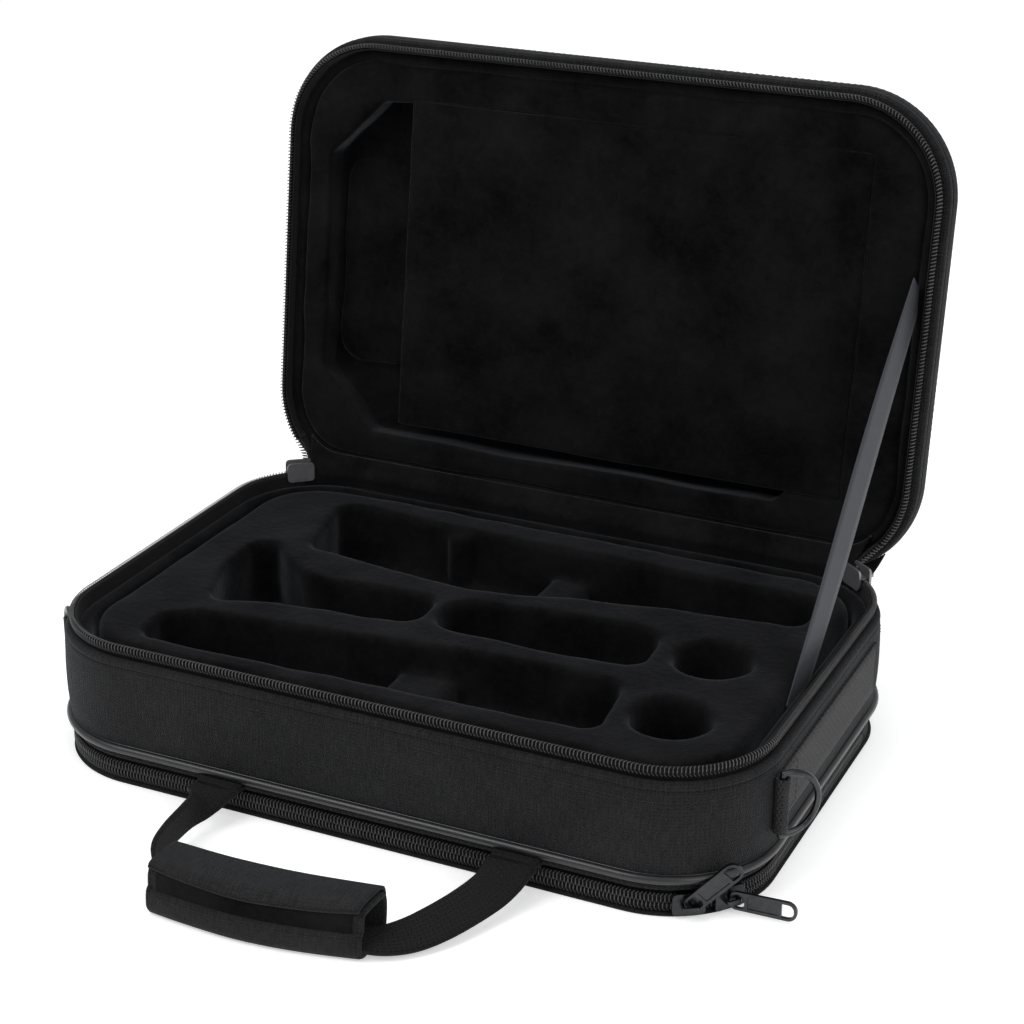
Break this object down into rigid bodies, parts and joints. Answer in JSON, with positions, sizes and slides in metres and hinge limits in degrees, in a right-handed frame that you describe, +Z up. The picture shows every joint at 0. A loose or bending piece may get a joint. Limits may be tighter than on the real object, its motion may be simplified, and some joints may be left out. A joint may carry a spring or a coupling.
{
  "type": "clarinet case",
  "caption": "Soft-sided clarinet case lying open: zipped tray with fitted plush places, hinged lid with an accessory well, zipped bottom pocket, carrying handle and strap rings",
  "frame": {"origin": "centre of the flat bottom face of the pocket panel, which the case rests on", "axes": "+X to the right of someone facing the open case, +Y to the back where the lid is hinged, +Z up"},
  "size_m": [0.4051, 0.3933, 0.3102],
  "materials": {
    "shell_cloth": "woven nylon, matt",
    "plush": "short plush pile",
    "webbing": "ribbed webbing",
    "satin_tape": "satin ribbon",
    "zip_tape": "fine weave",
    "zip_coil": "nylon coil",
    "piping_vinyl": "smooth, half gloss",
    "gunmetal": "dark nickel",
    "ring_steel": "dark nickel",
    "board": "covered board",
    "grip_cloth": "padded nylon"
  },
  "bodies": {
    "tray": {"tray_floor": "board", "tray_wall": "shell_cloth", "wall_lining": "plush", "insert": "plush", "rim_tape": "zip_tape", "rim_coil": "zip_coil", "gusset_strip": "shell_cloth", "piping": "piping_vinyl", "pocket_tape_upper": "zip_tape", "pocket_coil_upper": "zip_coil", "side_strap_left": "webbing", "side_strap_right": "webbing", "handle_tab_left": "webbing", "handle_tab_right": "webbing", "hinge_cloth": "shell_cloth", "hinge_lining": "plush", "stay_strap": "satin_tape"},
    "lid": {"lid_shell": "shell_cloth", "lid_tape": "zip_tape", "lid_coil": "zip_coil", "lid_liner": "plush"},
    "flap": {"lid_flap": "plush"},
    "pocket_cover": {"pocket_panel": "shell_cloth", "pocket_tape_lower": "zip_tape", "pocket_coil_lower": "zip_coil", "pocket_hinge_cloth": "shell_cloth"},
    "handle": {"handle_strap": "webbing", "grip_wrap": "grip_cloth", "grip_loop_strip": "plush"},
    "ring_left": {"strap_ring_left": "ring_steel"},
    "ring_right": {"strap_ring_right": "ring_steel"},
    "rim_slider_left": {"rim_slider_left": "gunmetal"},
    "rim_slider_right": {"rim_slider_right": "gunmetal"},
    "rim_pull_left": {"rim_pull_left": "gunmetal"},
    "rim_pull_right": {"rim_pull_right": "gunmetal"},
    "pocket_slider_left": {"pocket_slider_left": "gunmetal"},
    "pocket_slider_right": {"pocket_slider_right": "gunmetal"},
    "pocket_pull_left": {"pocket_pull_left": "gunmetal"},
    "pocket_pull_right": {"pocket_pull_right": "gunmetal"}
  },
  "joints": [
    {"name": "lid_hinge", "type": "hinge", "parent": "tray", "child": "lid", "pos_m": [0, 0.1159, 0.0723], "axis": [1, 0, 0], "range_deg": [0, 97.26], "deforming": ["hinge_cloth", "hinge_lining", "stay_strap"]},
    {"name": "flap_hinge", "type": "hinge", "parent": "lid", "child": "flap", "pos_m": [0.1444, 0.13833, 0.18981], "axis": [0, -0.1264, -0.992], "range_deg": [-90, 0]},
    {"name": "pocket_hinge", "type": "hinge", "parent": "tray", "child": "pocket_cover", "pos_m": [0, 0.1215, 0.0035], "axis": [1, 0, 0], "range_deg": [0, 90], "deforming": ["pocket_hinge_cloth"]},
    {"name": "handle_swing", "type": "hinge", "parent": "tray", "child": "handle", "pos_m": [0, -0.1301, 0.0143], "axis": [1, 0, 0], "range_deg": [-78, 40]},
    {"name": "ring_left_swing", "type": "hinge", "parent": "tray", "child": "ring_left", "pos_m": [-0.187, -0.079, 0.0445], "axis": [0, 0, -1], "range_deg": [-110, 40]},
    {"name": "ring_right_swing", "type": "hinge", "parent": "tray", "child": "ring_right", "pos_m": [0.187, -0.079, 0.0445], "axis": [0, 0, 1], "range_deg": [-110, 40]},
    {"name": "rim_slider_left_run", "type": "hinge", "parent": "tray", "child": "rim_slider_left", "pos_m": [-0.13, 0.0706, 0.0732], "axis": [0, 0, 1], "range_deg": [0, 50]},
    {"name": "rim_slider_right_run", "type": "hinge", "parent": "tray", "child": "rim_slider_right", "pos_m": [0.13, 0.0706, 0.0732], "axis": [0, 0, -1], "range_deg": [0, 50]},
    {"name": "rim_pull_left_swing", "type": "hinge", "parent": "rim_slider_left", "child": "rim_pull_left", "pos_m": [-0.16497, 0.11227, 0.0732], "axis": [0.5417, 0.4545, 0.7071], "range_deg": [0, 95]},
    {"name": "rim_pull_right_swing", "type": "hinge", "parent": "rim_slider_right", "child": "rim_pull_right", "pos_m": [0.16497, 0.11227, 0.0732], "axis": [0.5417, -0.4545, -0.7071], "range_deg": [0, 95]},
    {"name": "pocket_slider_left_run", "type": "hinge", "parent": "tray", "child": "pocket_slider_left", "pos_m": [0.13, -0.0706, 0.0072], "axis": [0, 0, 1], "range_deg": [-32.5, 0]},
    {"name": "pocket_slider_right_run", "type": "hinge", "parent": "tray", "child": "pocket_slider_right", "pos_m": [0.13, -0.0706, 0.0072], "axis": [0, 0, 1], "range_deg": [0, 37]},
    {"name": "pocket_pull_left_swing", "type": "hinge", "parent": "pocket_slider_left", "child": "pocket_pull_left", "pos_m": [0.16009, -0.11783, 0.0072], "axis": [0.5964, 0.3799, -0.7071], "range_deg": [0, 85]},
    {"name": "pocket_pull_right_swing", "type": "hinge", "parent": "pocket_slider_right", "child": "pocket_pull_right", "pos_m": [0.17472, -0.1043, 0.0072], "axis": [0, 0, 1], "range_deg": [-60, 45]}
  ]
}
